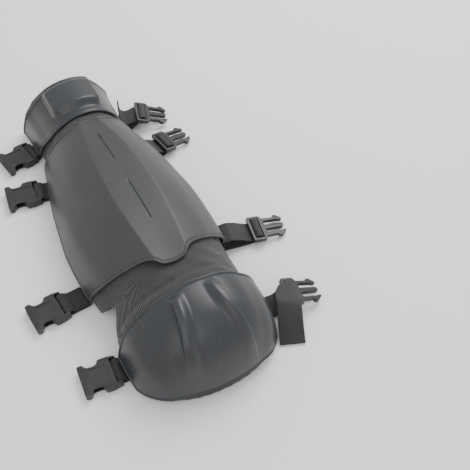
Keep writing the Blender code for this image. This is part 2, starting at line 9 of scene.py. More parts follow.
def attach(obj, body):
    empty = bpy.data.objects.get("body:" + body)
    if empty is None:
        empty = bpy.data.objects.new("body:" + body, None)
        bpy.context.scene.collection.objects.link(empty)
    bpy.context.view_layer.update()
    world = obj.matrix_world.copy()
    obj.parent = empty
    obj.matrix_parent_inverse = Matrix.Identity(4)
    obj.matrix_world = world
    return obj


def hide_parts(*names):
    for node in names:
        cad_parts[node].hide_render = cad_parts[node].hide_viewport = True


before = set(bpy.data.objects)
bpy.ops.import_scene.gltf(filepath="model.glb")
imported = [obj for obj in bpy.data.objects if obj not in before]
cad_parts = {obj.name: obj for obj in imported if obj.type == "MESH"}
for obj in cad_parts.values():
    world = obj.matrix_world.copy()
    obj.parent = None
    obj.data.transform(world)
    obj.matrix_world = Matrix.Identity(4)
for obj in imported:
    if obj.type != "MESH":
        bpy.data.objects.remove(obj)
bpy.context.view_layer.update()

guard = {
    "length": 0.497, "width": 0.170, "ankleWidth": 0.112, "height": 0.097, "ankleHeight": 0.084,
    "lean": 0.005, "fullness": 2.15, "lift": 0.0066,
    "shift": (-0.009569, -0.250162, 0.001149),    # from the guard's own axes to the frame's
    "liningDepth": 0.0088, "liningThick": 0.0015, "padThick": 0.008,
    "shellGap": 0.0009, "strapRoom": 0.0036, "shellThick": 0.0025,
    "webWidth": 0.030, "webThick": 0.0018, "webGap": 0.0009,
}

# Cross-sections from the knee lip to the ankle rim: place of the crest, height, place of the
# side edges, width, and how far the row has gone over to the ankle's size
sectionRows = np.array((
    (0.000, 0.000, 0.102, 0.955, 0.00), (0.003, 0.200, 0.104, 0.960, 0.00),
    (0.012, 0.400, 0.107, 0.965, 0.00), (0.029, 0.600, 0.112, 0.970, 0.00),
    (0.056, 0.765, 0.120, 0.975, 0.00), (0.093, 0.870, 0.132, 0.978, 0.00),
    (0.133, 0.915, 0.148, 0.980, 0.00), (0.169, 0.920, 0.170, 0.975, 0.00),
    (0.201, 0.905, 0.198, 0.962, 0.00), (0.230, 0.900, 0.229, 0.948, 0.00),
    (0.262, 0.915, 0.262, 0.942, 0.00), (0.298, 0.945, 0.298, 0.955, 0.00),
    (0.342, 0.975, 0.343, 0.985, 0.00), (0.412, 1.000, 0.415, 1.000, 0.00),
    (0.483, 1.000, 0.488, 0.995, 0.00), (0.553, 0.992, 0.560, 0.960, 0.05),
    (0.623, 0.985, 0.632, 0.930, 0.15), (0.694, 0.980, 0.705, 0.925, 0.40),
    (0.755, 0.980, 0.767, 0.955, 0.75), (0.805, 0.985, 0.826, 0.985, 1.00),
    (0.865, 0.995, 0.890, 0.978, 1.00), (0.915, 0.992, 0.946, 1.000, 1.00),
    (0.962, 0.985, 1.000, 1.060, 1.00)))
lastRow = len(sectionRows) - 1


# Curves and the pad's outer face, on whole arrays at once

def follow(places, values, at):
    places = np.asarray(places, float)
    values = np.asarray(values, float)
    at = np.clip(at, places[0], places[-1])
    k = np.clip(np.searchsorted(places, at, side="right") - 1, 0, len(places) - 2)
    chords = np.diff(values) / np.diff(places)
    slopes = np.concatenate(([chords[0]], (chords[1:] + chords[:-1]) / 2, [chords[-1]]))
    run = places[k + 1] - places[k]
    s = (at - places[k]) / run
    return (values[k] * (1 + 2 * s) * (1 - s) ** 2 + values[k + 1] * s * s * (3 - 2 * s)
            + run * (slopes[k] * s * (1 - s) ** 2 + slopes[k + 1] * s * s * (s - 1)))


def readCurve(rows, at):
    return follow([row[0] for row in rows], [row[1] for row in rows], at)


def ease(s):
    s = np.clip(s, 0, 1)
    return s * s * (3 - 2 * s)


def facePoint(row, turn):
    row, turn = np.broadcast_arrays(np.asarray(row, float), np.asarray(turn, float))
    crest, up, edge, wide, ankle = (follow(range(lastRow + 1), sectionRows[:, k], row)
                                    for k in range(5))
    half = wide * (guard["width"] + ankle * (guard["ankleWidth"] - guard["width"])) / 2
    height = guard["height"] + ankle * (guard["ankleHeight"] - guard["height"])
    rise = up * (height - guard["lift"])
    crest = crest * guard["length"]
    edge = edge * guard["length"]
    reach = np.hypot(crest - edge, rise)
    power = guard["fullness"]
    radius = ((np.abs(np.cos(turn)) / half) ** power
              + (np.abs(np.sin(turn)) / reach) ** power) ** (-1 / power)
    share = radius * np.sin(turn) / reach
    return np.stack((guard["lean"] * share - radius * np.cos(turn), edge + (crest - edge) * share,
                     guard["lift"] + rise * share), -1)


def faceNormal(row, turn):
    step = 0.002
    row, turn = np.broadcast_arrays(np.asarray(row, float), np.asarray(turn, float))
    row = np.maximum(row, 0.5)
    turn = np.clip(turn, 0.12, math.pi - 0.12)
    along = facePoint(np.minimum(row + step, lastRow), turn) - facePoint(row - step, turn)
    across = facePoint(row, turn + step) - facePoint(row, turn - step)
    normal = np.cross(across, along)
    return normal / np.linalg.norm(normal, axis=-1, keepdims=True)


def offFace(row, turn, distance):
    return facePoint(row, turn) + faceNormal(row, turn) * np.asarray(distance)[..., None]


def halve(low, high, reached):
    low, high = np.array(low, float), np.array(high, float)
    for _ in range(26):
        middle = (low + high) / 2
        past = reached(middle)
        high = np.where(past, middle, high)
        low = np.where(past, low, middle)
    return low


def rowAt(along, turn):
    along, turn = np.broadcast_arrays(np.asarray(along, float), np.asarray(turn, float))
    return halve(np.zeros(along.shape), np.full(along.shape, float(lastRow)),
                 lambda row: facePoint(row, turn)[..., 1] >= along)


def turnAtHeight(row, height):
    row, height = np.broadcast_arrays(np.asarray(row, float), np.asarray(height, float))
    return halve(np.zeros(row.shape), np.full(row.shape, math.pi / 2),
                 lambda turn: facePoint(row, turn)[..., 2] >= height)


notch = {"place": 0.130, "kneeReach": 0.034, "shinReach": 0.026, "climb": 0.040}


def notchTurn(row):
    row = np.asarray(row, float)
    along = follow(range(lastRow + 1), sectionRows[:, 2], row) * guard["length"]
    reach = np.where(along < notch["place"], notch["kneeReach"], notch["shinReach"])
    away = np.abs(along - notch["place"]) / reach
    climb = notch["climb"] * np.cos(np.minimum(away, 1) * math.pi / 2) ** 2
    return np.where(away >= 1, 0, turnAtHeight(row, guard["lift"] + climb))


# Making pieces

def finishPiece(piece, slot, body="root"):
    piece.data.materials.clear()
    piece.data.materials.append(finishes[slot])
    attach(piece, body)


def applied(piece, kind, **settings):
    bpy.context.view_layer.objects.active = piece
    tool = piece.modifiers.new(kind.lower(), kind)
    for key, value in settings.items():
        setattr(tool, key, value)
    bpy.ops.object.modifier_apply(modifier=tool.name)


def smooth(piece, angle=40):
    bpy.ops.object.select_all(action="DESELECT")
    piece.select_set(True)
    bpy.context.view_layer.objects.active = piece
    bpy.ops.object.shade_smooth_by_angle(angle=math.radians(angle))


def layFrom(piece, cells, top, bottom, uv):
    # Move a primitive's points onto two lattices, the upper one for what was extruded
    mesh = piece.data
    top = top.reshape(-1, 3) + guard["shift"]
    points = top[cells]
    if bottom is not None:
        upper = np.zeros(len(mesh.vertices), bool)
        mesh.vertices.foreach_get("select", upper)
        points = np.where(upper[:, None], points, bottom.reshape(-1, 3)[cells] + guard["shift"])
    mesh.vertices.foreach_set("co", points.ravel())
    corners = np.zeros(len(mesh.loops), np.int32)
    mesh.loops.foreach_get("vertex_index", corners)
    layer = mesh.uv_layers[0] if mesh.uv_layers else mesh.uv_layers.new(name="cloth")
    layer.data.foreach_set("uv", uv.reshape(-1, 2)[cells[corners]].ravel())
    mesh.update()


def wallPiece(name, top, bottom, uv, bevel=0.0006):
    # A grid, extruded into a wall whose two faces lie on the given points
    rows, columns = top.shape[:2]
    bpy.ops.object.select_all(action="DESELECT")
    bpy.ops.mesh.primitive_grid_add(x_subdivisions=columns - 1, y_subdivisions=rows - 1, size=2)
    piece = bpy.context.object
    piece.name = name
    mesh = piece.data
    flat = np.zeros(len(mesh.vertices) * 3)
    mesh.vertices.foreach_get("co", flat)
    flat = (flat.reshape(-1, 3) + 1) / 2
    cells = np.rint(flat[:, 1] * (rows - 1)) * columns + np.rint(flat[:, 0] * (columns - 1))
    mark = mesh.attributes.new("cell", "INT", "POINT")
    mark.data.foreach_set("value", cells.astype(np.int32))
    bpy.ops.object.mode_set(mode="EDIT")
    bpy.ops.mesh.select_all(action="SELECT")
    bpy.ops.mesh.extrude_region()
    bpy.ops.object.mode_set(mode="OBJECT")
    cells = np.zeros(len(mesh.vertices), np.int32)
    mesh.attributes["cell"].data.foreach_get("value", cells)
    layFrom(piece, cells, top, bottom, uv)
    mesh.attributes.remove(mesh.attributes["cell"])
    bpy.ops.object.mode_set(mode="EDIT")
    bpy.ops.mesh.select_all(action="SELECT")
    bpy.ops.mesh.normals_make_consistent(inside=False)
    bpy.ops.object.mode_set(mode="OBJECT")
    if bevel:
        applied(piece, "BEVEL", width=bevel, segments=2, limit_method="ANGLE",
                angle_limit=math.radians(55))
    smooth(piece)
    return piece


def measured(points):
    # Lengths in metres along both ways of a lattice, for the cloth patterns
    across = np.linalg.norm(np.diff(points, axis=1), axis=-1).cumsum(1)
    across = np.concatenate((np.zeros((len(points), 1)), across), 1)
    across -= across[:, across.shape[1] // 2][:, None]
    along = np.linalg.norm(np.diff(points, axis=0), axis=-1).cumsum(0)
    along = np.concatenate((np.zeros((1, points.shape[1])), along), 0)
    return np.stack((across, along), -1)


def closeEnds(spans, near, steps):
    # Shares from 0 to 1 with extra divisions within near of both ends
    ends = np.linspace(0, near, steps, endpoint=False)
    return np.concatenate((ends, np.linspace(near, 1 - near, spans), 1 - ends[::-1]))


# Materials. Shared effects are node groups; each material places them with its own values.

def newGroup(name, inputs, outputs):
    tree = bpy.data.node_groups.new(name, "ShaderNodeTree")
    for label, kind, value in inputs:
        socket = tree.interface.new_socket(label, in_out="INPUT", socket_type=kind)
        if value is not None:
            socket.default_value = value
    for label, kind in outputs:
        tree.interface.new_socket(label, in_out="OUTPUT", socket_type=kind)
    return tree, tree.nodes.new("NodeGroupInput"), tree.nodes.new("NodeGroupOutput")


def put(tree, socket, value):
    if isinstance(value, bpy.types.NodeSocket):
        tree.links.new(value, socket)
    else:
        socket.default_value = value


def calc(tree, operation, *values):
    node = tree.nodes.new("ShaderNodeMath")
    node.operation = operation
    for socket, value in zip(node.inputs, values):
        put(tree, socket, value)
    return node.outputs[0]


def ramped(tree, value, low, high, bottom=0.0, top=1.0):
    node = tree.nodes.new("ShaderNodeMapRange")
    node.interpolation_type = "SMOOTHSTEP"
    for label, number in (("Value", value), ("From Min", low), ("From Max", high),
                          ("To Min", bottom), ("To Max", top)):
        put(tree, node.inputs[label], number)
    return node.outputs["Result"]


def noiseNode(tree, vector, scale, detail=3.0, roughness=0.5):
    node = tree.nodes.new("ShaderNodeTexNoise")
    for label, number in (("Vector", vector), ("Scale", scale), ("Detail", detail),
                          ("Roughness", roughness)):
        put(tree, node.inputs[label], number)
    return node.outputs["Fac"]


def mixColour(tree, share, first, second):
    node = tree.nodes.new("ShaderNodeMix")
    node.data_type = "RGBA"
    put(tree, node.inputs[0], share)
    put(tree, node.inputs[6], first)
    put(tree, node.inputs[7], second)
    return node.outputs[2]


def placeGroup(tree, group, **values):
    node = tree.nodes.new("ShaderNodeGroup")
    node.node_tree = group
    for label, value in values.items():
        put(tree, node.inputs[label], value)
    return node


def meshHoleGroup():
    # Staggered small holes of a spacer mesh, from the cloth's own lengths; the hole mask also
    # places painted shade, colouring the holes near black
    tree, into, out = newGroup("spacerMesh", (("Place", "NodeSocketVector", None),
                                              ("Pitch", "NodeSocketFloat", 0.0022)),
                               (("ShadedHole", "NodeSocketFloat"), ("Height", "NodeSocketFloat")))
    parts = tree.nodes.new("ShaderNodeSeparateXYZ")
    put(tree, parts.inputs[0], into.outputs["Place"])
    u = calc(tree, "DIVIDE", parts.outputs[0], into.outputs["Pitch"])
    v = calc(tree, "DIVIDE", calc(tree, "DIVIDE", parts.outputs[1], into.outputs["Pitch"]), 0.62)
    stagger = calc(tree, "MULTIPLY", calc(tree, "MODULO", calc(tree, "FLOOR", v), 2.0), 0.5)
    u = calc(tree, "SUBTRACT", calc(tree, "FRACT", calc(tree, "ADD", u, stagger)), 0.5)
    v = calc(tree, "SUBTRACT", calc(tree, "FRACT", v), 0.5)
    away = calc(tree, "SQRT", calc(tree, "ADD", calc(tree, "MULTIPLY", u, u),
                                   calc(tree, "MULTIPLY", calc(tree, "MULTIPLY", v, v), 0.55)))
    put(tree, out.inputs["ShadedHole"], ramped(tree, away, 0.20, 0.32, 1.0, 0.0))
    put(tree, out.inputs["Height"], ramped(tree, away, 0.16, 0.40))
    return tree


def webGroup():
    # Lengthwise ribs of webbing with the beat of its weft; the shade output is painted shade,
    # darker in the valleys between the ribs
    tree, into, out = newGroup("webWeave", (("Place", "NodeSocketVector", None),
                                            ("Pitch", "NodeSocketFloat", 0.0016)),
                               (("Height", "NodeSocketFloat"), ("PaintedShade", "NodeSocketFloat")))
    parts = tree.nodes.new("ShaderNodeSeparateXYZ")
    put(tree, parts.inputs[0], into.outputs["Place"])
    u = calc(tree, "DIVIDE", parts.outputs[0], into.outputs["Pitch"])
    v = calc(tree, "DIVIDE", parts.outputs[1], calc(tree, "MULTIPLY", into.outputs["Pitch"], 0.7))
    rib = calc(tree, "ABSOLUTE", calc(tree, "SINE", calc(tree, "MULTIPLY", u, math.pi)))
    shift = calc(tree, "MULTIPLY", calc(tree, "MODULO", calc(tree, "FLOOR", u), 2.0), 0.5)
    weft = calc(tree, "ABSOLUTE", calc(tree, "SINE", calc(
        tree, "MULTIPLY", calc(tree, "ADD", v, shift), math.pi)))
    height = calc(tree, "ADD", rib, calc(tree, "MULTIPLY", weft, 0.35))
    put(tree, out.inputs["Height"], height)
    put(tree, out.inputs["PaintedShade"], ramped(tree, height, 0.2, 1.3))
    return tree


def grainGroup():
    # Fine moulded grain with a slow drift in tone and gloss
    tree, into, out = newGroup("mouldGrain", (("Place", "NodeSocketVector", None),
                                              ("Grain", "NodeSocketFloat", 1400.0),
                                              ("Drift", "NodeSocketFloat", 14.0)),
                               (("Height", "NodeSocketFloat"), ("Tone", "NodeSocketFloat"),
                                ("Scuff", "NodeSocketFloat")))
    put(tree, out.inputs["Height"], noiseNode(tree, into.outputs["Place"],
                                              into.outputs["Grain"], 2.0))
    put(tree, out.inputs["Tone"], noiseNode(tree, into.outputs["Place"], into.outputs["Drift"]))
    fine = noiseNode(tree, into.outputs["Place"], calc(tree, "MULTIPLY",
                                                       into.outputs["Drift"], 9.0), 6.0, 0.7)
    put(tree, out.inputs["Scuff"], ramped(tree, fine, 0.56, 0.72))
    return tree


def newFinish(slot, colour, roughness, **fixed):
    made = bpy.data.materials.new(slot)
    made.use_nodes = True
    tree = made.node_tree
    shader = tree.nodes["Principled BSDF"]
    shader.inputs["Base Color"].default_value = (*colour, 1)
    shader.inputs["Roughness"].default_value = roughness
    for label, value in fixed.items():
        shader.inputs[label].default_value = value
    place = tree.nodes.new("ShaderNodeTexCoord")
    finishes[slot] = made
    return tree, shader, place


def bumped(tree, shader, height, distance, strength=1.0):
    node = tree.nodes.new("ShaderNodeBump")
    node.inputs["Distance"].default_value = distance
    node.inputs["Strength"].default_value = strength
    put(tree, node.inputs["Height"], height)
    put(tree, shader.inputs["Normal"], node.outputs[0])


finishes = {}
spacerMesh, webWeave, mouldGrain = meshHoleGroup(), webGroup(), grainGroup()


def shellFinish(slot, look):
    tree, shader, place = newFinish(slot, look["colour"], look["rough"])
    grain = placeGroup(tree, mouldGrain, Place=place.outputs["Object"], Grain=look["grain"],
                       Drift=look["drift"])
    tone = mixColour(tree, grain.outputs["Tone"], (*look["dark"], 1), (*look["light"], 1))
    put(tree, shader.inputs["Base Color"],
        mixColour(tree, calc(tree, "MULTIPLY", grain.outputs["Scuff"], look["scuff"]), tone,
                  (*look["dust"], 1)))
    rough = calc(tree, "ADD", look["rough"] - look["swing"],
                 calc(tree, "MULTIPLY", grain.outputs["Tone"], 2 * look["swing"]))
    put(tree, shader.inputs["Roughness"],
        calc(tree, "ADD", rough, calc(tree, "MULTIPLY", grain.outputs["Scuff"], 0.06)))
    bumped(tree, shader, grain.outputs["Height"], look["depth"])


glossLook = {"colour": (0.022, 0.024, 0.027), "dark": (0.018, 0.020, 0.023),
             "light": (0.030, 0.033, 0.037), "dust": (0.075, 0.078, 0.082), "scuff": 0.35,
             "rough": 0.36, "swing": 0.05, "grain": 1600.0, "drift": 16.0, "depth": 0.00007}
satinLook = {"colour": (0.032, 0.034, 0.037), "dark": (0.027, 0.029, 0.031),
             "light": (0.040, 0.042, 0.046), "dust": (0.085, 0.088, 0.092), "scuff": 0.3,
             "rough": 0.45, "swing": 0.05, "grain": 1300.0, "drift": 13.0, "depth": 0.00011}
buckleLook = {"colour": (0.016, 0.017, 0.018), "dark": (0.012, 0.013, 0.014),
              "light": (0.022, 0.023, 0.025), "dust": (0.06, 0.062, 0.065), "scuff": 0.25,
              "rough": 0.38, "swing": 0.05, "grain": 2200.0, "drift": 40.0, "depth": 0.00005}
shellFinish("gloss_shell", glossLook)
shellFinish("satin_shell", satinLook)
shellFinish("buckle_plastic", buckleLook)


def meshFinish():
    tree, shader, place = newFinish("mesh_padding", (0.012, 0.012, 0.013), 0.85,
                                    **{"Sheen Weight": 0.25, "Sheen Roughness": 0.4})
    cells = placeGroup(tree, spacerMesh, Place=place.outputs["UV"], Pitch=0.0026)
    yarn = noiseNode(tree, place.outputs["UV"], 900.0, 2.0)
    lit = mixColour(tree, yarn, (0.020, 0.021, 0.023, 1), (0.045, 0.047, 0.050, 1))
    # Painted shade: the mesh holes are coloured near black, as the shade inside these recesses
    put(tree, shader.inputs["Base Color"],
        mixColour(tree, cells.outputs["ShadedHole"], lit, (0.0015, 0.0015, 0.0015, 1)))
    put(tree, shader.inputs["Roughness"],
        calc(tree, "ADD", 0.62, calc(tree, "MULTIPLY", cells.outputs["ShadedHole"], 0.35)))
    bumped(tree, shader, calc(tree, "ADD", cells.outputs["Height"],
                              calc(tree, "MULTIPLY", yarn, 0.3)), 0.0007)


def clothFinish(slot, look):
    tree, shader, place = newFinish(slot, look["colour"], look["rough"],
                                    **{"Sheen Weight": look["sheen"], "Sheen Roughness": 0.5})
    knit = placeGroup(tree, webWeave, Place=place.outputs["UV"], Pitch=look["pitch"])
    fuzz = noiseNode(tree, place.outputs["Object"], look["fuzz"], 4.0, 0.65)
    slow = noiseNode(tree, place.outputs["Object"], 30.0, 2.0)
    # Painted shade: the cloth is coloured darker in the rib valleys, mixed with a slow random tone
    share = calc(tree, "ADD", calc(tree, "MULTIPLY", knit.outputs["PaintedShade"], 0.5),
                 calc(tree, "MULTIPLY", slow, 0.5))
    put(tree, shader.inputs["Base Color"],
        mixColour(tree, share, (*look["dark"], 1), (*look["light"], 1)))
    bumped(tree, shader, calc(tree, "ADD", calc(tree, "MULTIPLY", knit.outputs["Height"],
                                                look["rib"]), fuzz), look["depth"])


meshFinish()
clothFinish("webbing", {"colour": (0.012, 0.012, 0.013), "dark": (0.005, 0.005, 0.006),
                        "light": (0.026, 0.027, 0.029), "rough": 0.7, "sheen": 0.15,
                        "pitch": 0.0016, "fuzz": 1500.0, "rib": 1.6, "depth": 0.00022})
clothFinish("binding_tape", {"colour": (0.010, 0.010, 0.010), "dark": (0.006, 0.006, 0.006),
                             "light": (0.018, 0.018, 0.019), "rough": 0.88, "sheen": 0.3,
                             "pitch": 0.0009, "fuzz": 1100.0, "rib": 0.5, "depth": 0.00018})
clothFinish("brushed_lining", {"colour": (0.008, 0.008, 0.008), "dark": (0.005, 0.005, 0.005),
                               "light": (0.014, 0.014, 0.015), "rough": 0.95, "sheen": 0.35,
                               "pitch": 0.0012, "fuzz": 800.0, "rib": 0.25, "depth": 0.00030})
clothFinish("woven_label", {"colour": (0.75, 0.75, 0.74), "dark": (0.66, 0.66, 0.65),
                            "light": (0.80, 0.80, 0.79), "rough": 0.7, "sheen": 0.1,
                            "pitch": 0.0005, "fuzz": 1200.0, "rib": 1.0, "depth": 0.00006})
print("materials ready")

# Pad with its lining, binding and label

pad = {"rows": 260, "columns": 124, "wave": 0.0005, "hinge": 0.104, "pinch": 0.0011}


def softWave(points, size, seed):
    x, y, z = points[..., 0] / size, points[..., 1] / size, points[..., 2] / size
    return (np.sin(1.7 * x + 2.3 * y + seed) * np.sin(2.1 * z - 1.1 * y + 2 * seed)
            + 0.6 * np.sin(3.9 * y + 1.3 * x - seed) * np.sin(2.9 * x + 3.1 * z))


def makePad():
    row = np.linspace(0, lastRow, pad["rows"])[:, None]
    edge = notchTurn(row)
    turn = edge + (math.pi - 2 * edge) * np.linspace(0, 1, pad["columns"])[None, :]
    row = np.broadcast_to(row, turn.shape)
    face = facePoint(row, turn)
    inside = ease(np.minimum(turn, math.pi - turn) / 0.5)
    along = face[..., 1]
    dip = np.exp(-((along - pad["hinge"] - 0.002 * np.sin(face[..., 0] * 60)) / 0.0035) ** 2)
    lift = (pad["wave"] * softWave(face, 0.014, 0.4) - pad["pinch"] * dip) * inside
    top = offFace(row, turn, lift)
    bottom = offFace(row, turn, np.full(turn.shape, -guard["padThick"]))
    piece = wallPiece("meshPad", top, bottom, measured(face), 0)
    finishPiece(piece, "mesh_padding")
    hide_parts("foam_pad")
    row, turn = row[::2, ::2], turn[::2, ::2]
    face = face[::2, ::2]
    seam = np.exp(-((face[..., 1] - pad["hinge"]) / 0.0022) ** 2)
    seam = np.maximum(seam, np.exp(-((face[..., 1] - 0.385) / 0.0022) ** 2))
    top = offFace(row, turn, np.full(turn.shape, -guard["liningDepth"]))
    bottom = offFace(row, turn, -guard["liningDepth"] - guard["liningThick"] * (1 - 0.45 * seam))
    piece = wallPiece("brushedLining", top, bottom, measured(face), 0)
    finishPiece(piece, "brushed_lining")
    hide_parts("lining")


binding = {"around": 26, "spacing": 0.0022, "wrap": 0.0030, "proud": 0.0007, "depth": 0.0062}


def rimPlaces(count):
    left = notchTurn(np.linspace(0, lastRow, count[1]))
    lip = np.stack((np.zeros(count[0]), np.linspace(0, math.pi, count[0])), 1)
    right = np.stack((np.linspace(0, lastRow, count[1]), math.pi - left), 1)
    rim = np.stack((np.full(count[0], lastRow), np.linspace(math.pi, 0, count[0])), 1)
    back = right[::-1].copy()
    back[:, 1] = math.pi - back[:, 1]
    return np.concatenate((lip[:-1], right[:-1], rim[:-1], back[:-1]))


def makeBinding():
    places = rimPlaces((140, 900))
    points = facePoint(places[:, 0], places[:, 1])
    steps = np.linalg.norm(np.diff(np.concatenate((points, points[:1])), axis=0), axis=1)
    total = steps.sum()
    rings = int(total / binding["spacing"])
    reach = np.concatenate(([0], steps.cumsum()))
    at = np.linspace(0, total, rings, endpoint=False)
    loop = np.concatenate((places, places[:1]))
    row = np.interp(at, reach, loop[:, 0])
    turn = np.interp(at, reach, loop[:, 1])
    rim = facePoint(row, turn)
    normal = faceNormal(row, turn)
    for _ in range(3):
        normal = (np.roll(normal, 1, 0) + 2 * normal + np.roll(normal, -1, 0)) / 4
    tangent = np.roll(rim, -1, 0) - np.roll(rim, 1, 0)
    tangent /= np.linalg.norm(tangent, axis=1, keepdims=True)
    outward = np.cross(tangent, normal)
    outward /= np.linalg.norm(outward, axis=1, keepdims=True)
    for _ in range(4):
        outward = (np.roll(outward, 1, 0) + 2 * outward + np.roll(outward, -1, 0)) / 4
    outward /= np.linalg.norm(outward, axis=1, keepdims=True)
    stack = guard["liningDepth"] + guard["liningThick"]
    angle = np.linspace(0, 2 * math.pi, binding["around"], endpoint=False)
    across = np.sign(np.sin(angle)) * np.abs(np.sin(angle)) ** 0.75
    out = np.where(np.cos(angle) > 0, binding["depth"] * np.abs(np.cos(angle)) ** 0.85,
                   binding["wrap"] * -np.abs(np.cos(angle)) ** 0.6)
    pucker = 1 + 0.035 * np.sin(at * 520)[:, None] * ease(np.cos(angle) + 0.4)
    half = stack / 2 + binding["proud"]
    middle = rim - normal * stack / 2
    lattice = (middle[:, None]
               + normal[:, None] * (half * across)[None, :, None] * pucker[..., None]
               + outward[:, None] * (out[None, :] * pucker)[..., None])
    bpy.ops.object.select_all(action="DESELECT")
    bpy.ops.mesh.primitive_torus_add(major_segments=rings, minor_segments=binding["around"])
    piece = bpy.context.object
    piece.name = "edgeBinding"
    cells = np.arange(len(piece.data.vertices))
    girth = np.arange(binding["around"]) * 0.0012
    uv = np.stack(np.broadcast_arrays(girth[None, :], at[:, None]), -1)
    layFrom(piece, cells, lattice, None, uv)
    bpy.ops.object.mode_set(mode="EDIT")
    bpy.ops.mesh.select_all(action="SELECT")
    bpy.ops.mesh.normals_make_consistent(inside=False)
    bpy.ops.object.mode_set(mode="OBJECT")
    smooth(piece, 60)
    finishPiece(piece, "binding_tape")
    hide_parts("edge_binding")


label = {"width": 0.046, "length": 0.034, "thick": 0.0005, "gap": 0.0009, "place": 0.50}


def makeLabel():
    along = label["place"] * guard["length"] + np.linspace(-0.5, 0.5, 24)[:, None] * label["width"]
    turn = math.radians(52) + np.linspace(-0.5, 0.5, 18)[None, :] * label["length"] / 0.085
    row = rowAt(along, turn)
    turn = np.broadcast_to(turn, row.shape)
    depth = guard["liningDepth"] + guard["liningThick"] + label["gap"]
    top = offFace(row, turn, np.full(row.shape, -depth))
    bottom = offFace(row, turn, np.full(row.shape, -depth - label["thick"]))
    piece = wallPiece("blankLabel", top, bottom, measured(top), 0.0001)
    finishPiece(piece, "woven_label")
    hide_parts("care_label")


makePad()
makeBinding()
makeLabel()
print("pad, lining, binding and label made")

# Moulded shells

rimBead = {"bead": 0.0026, "rise": 0.0008, "channel": 0.0018, "sink": 0.0007}


def standOff(down):
    room = guard["strapRoom"] - guard["shellGap"]
    return guard["shellGap"] + room * ease((down - 0.48) / 0.18)


def rimRelief(face):
    # Rolled bead along the rim, with the stitching channel just inside it
    across = np.linalg.norm(np.diff(face, axis=1), axis=-1).cumsum(1)
    across = np.concatenate((np.zeros((len(face), 1)), across), 1)
    along = np.linalg.norm(np.diff(face, axis=0), axis=-1).cumsum(0)
    along = np.concatenate((np.zeros((1, face.shape[1])), along), 0)
    lean = np.gradient(face, axis=1)
    run = np.gradient(face, axis=0)
    lean /= np.linalg.norm(lean, axis=-1, keepdims=True) + 1e-12
    run /= np.linalg.norm(run, axis=-1, keepdims=True) + 1e-12
    square = np.sqrt(1 - np.clip((lean * run).sum(-1), -0.9, 0.9) ** 2)
    away = np.minimum(np.minimum(across, across[:, -1:] - across),
                      np.minimum(along, along[-1:] - along)) * square
    bead, channel = rimBead["bead"], rimBead["channel"]
    round_ = np.sqrt(np.clip(1 - (away / bead * 2 - 1) ** 2, 0, 1)) * (away <= bead)
    sink = np.sin(np.clip((away - bead) / channel, 0, 1) * math.pi)
    return rimBead["rise"] * round_ - rimBead["sink"] * sink, away


def wholeShell(name, node, slot, half):
    # half(down side lattice) gives row, turn on the left side, rise and stand-off; it is mirrored
    row, turn, rise, down = half
    row = np.concatenate((row[:, :0:-1], row), 1)
    turn = np.concatenate((turn[:, :0:-1], math.pi - turn), 1)
    rise = np.concatenate((rise[:, :0:-1], rise), 1)
    down = np.concatenate((down[:, :0:-1], down), 1)
    gap = standOff(down)
    face = facePoint(row, turn)
    relief, _ = rimRelief(face)
    top = offFace(row, turn, gap + rise + guard["shellThick"] + relief)
    bottom = offFace(row, turn, gap + np.minimum(rise, rise * 0 + 1))
    piece = wallPiece(name, top, bottom, measured(face), 0.0005)
    finishPiece(piece, slot)
    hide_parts(node)
    return piece


shin = {
    "low": ((0.0, 0.246), (0.10, 0.252), (0.17, 0.272), (0.38, 0.290), (0.62, 0.308),
            (0.96, 0.348)),
    "high": ((0.0, 0.771), (0.18, 0.769), (0.50, 0.780), (0.96, 0.803)),
    "strip": ((0.20, 0.105), (0.275, 0.125), (0.39, 0.152), (0.50, 0.158), (0.63, 0.138),
              (0.76, 0.078)),
    "creaseRise": 0.0035, "creaseRun": 0.035, "side": 0.95,
    "grooves": ((0.375, 0.505), (0.590, 0.705)), "grooveWide": 0.0034, "grooveDeep": 0.0013,
}


def makeShin():
    inStrip = np.concatenate(([0, 0.02, 0.04, 0.06, 0.08, 0.10, 0.13, 0.17, 0.22],
                              np.linspace(0.28, 0.94, 16), [0.97, 1.0]))
    flank = 1 + np.concatenate(([0.02, 0.045], np.linspace(0.075, 0.94, 36),
                                [0.95, 0.96, 0.968, 0.976, 0.984, 0.992, 1.0]))
    lanes = np.concatenate((inStrip, flank))[None, :]
    part = closeEnds(150, 0.022, 7)[:, None]
    down = np.zeros((part.shape[0], lanes.shape[1]))
    arc = guard["height"] * math.pi / 2
    for _ in range(6):
        along = guard["length"] * (readCurve(shin["low"], down) * (1 - part)
                                   + readCurve(shin["high"], down) * part)
        half = readCurve(shin["strip"], along / guard["length"]) * guard["width"]
        crease = half / arc
        down = np.where(lanes <= 1, crease * lanes, crease + (shin["side"] - crease) * (lanes - 1))
    away = down * arc
    edgeRise = shin["creaseRise"] * half / (0.158 * guard["width"])
    rise = np.where(away <= half, edgeRise * (away / half) ** 2,
                    edgeRise * np.maximum(0, 1 - (away - half) / shin["creaseRun"]) ** 2)
    cut = np.zeros(rise.shape)
    for low, high in shin["grooves"]:
        ends = np.minimum(along - low * guard["length"], high * guard["length"] - along)
        inside = ease(ends / 0.0012)
        cut = np.maximum(cut, inside * ease((shin["grooveWide"] / 2 - away) / 0.0009))
    turn = math.pi / 2 * (1 - down)
    return wholeShell("shinShell", "shin_plate", "satin_shell",
                      (rowAt(along, turn), turn, rise - shin["grooveDeep"] * cut, down))


ankle = {"low": ((0.0, 0.801), (0.30, 0.806), (0.55, 0.824), (0.96, 0.868)), "highRow": 21.6,
         "side": 0.95, "bossHalf": 0.028, "bossSlope": 0.012, "bossRise": 0.008,
         "bossLow": 0.0175, "corner": 0.009}


